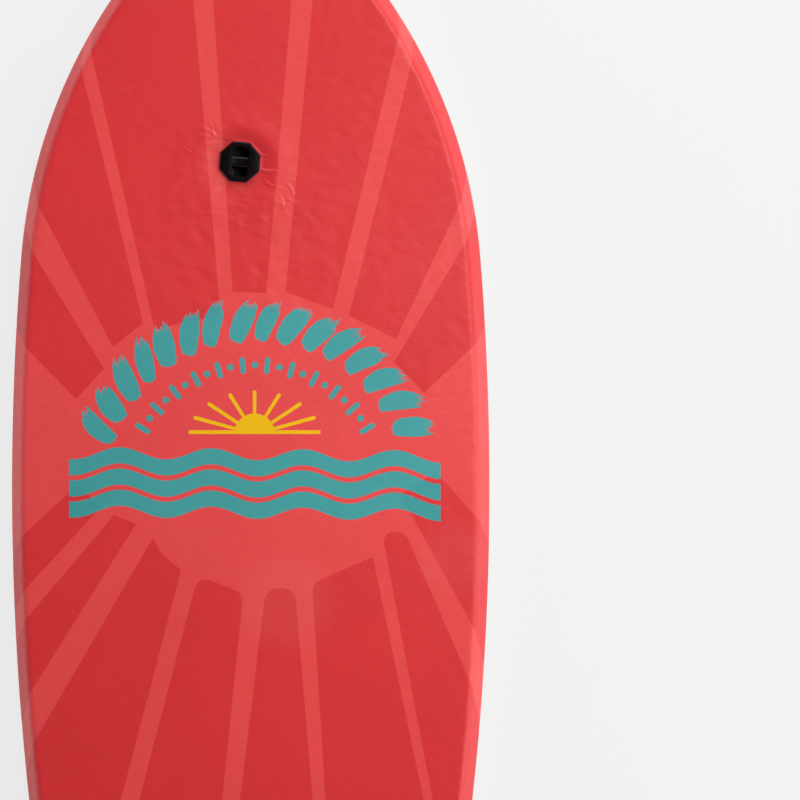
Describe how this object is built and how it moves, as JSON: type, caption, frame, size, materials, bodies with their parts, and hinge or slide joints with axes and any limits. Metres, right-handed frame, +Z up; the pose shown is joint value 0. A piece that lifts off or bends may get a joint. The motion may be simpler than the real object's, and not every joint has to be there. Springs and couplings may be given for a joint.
{
  "type": "bodyboard",
  "caption": "Bodyboard with a lifted, squared-off nose, a crescent tail, bevelled rails, a printed foam deck and a barred leash plug set into the deck near the nose.",
  "frame": {"origin": "on the floor the board lies on, under the middle of its length and width", "axes": "+Y towards the nose, +X to the board's right-hand side seen from above with the nose ahead, +Z up from the slick bottom to the deck"},
  "size_m": [0.48, 0.94, 0.0739],
  "materials": {
    "core_foam": "moulded expanded polystyrene beads",
    "deck_print": "thin printed foam sheet with a fine crinkle",
    "rail_foam": "smooth foam strip",
    "slick_sheet": "smooth slick sheet",
    "plug_plastic": "black moulded plastic, satin"
  },
  "bodies": {
    "root": {"foam_core": "core_foam", "deck_skin": "deck_print", "rail_strip_left": "rail_foam", "rail_strip_right": "rail_foam", "tail_strip": "rail_foam", "bottom_slick": "slick_sheet", "leash_plug_top": "plug_plastic", "leash_plug_bottom": "plug_plastic"}
  },
  "joints": []
}
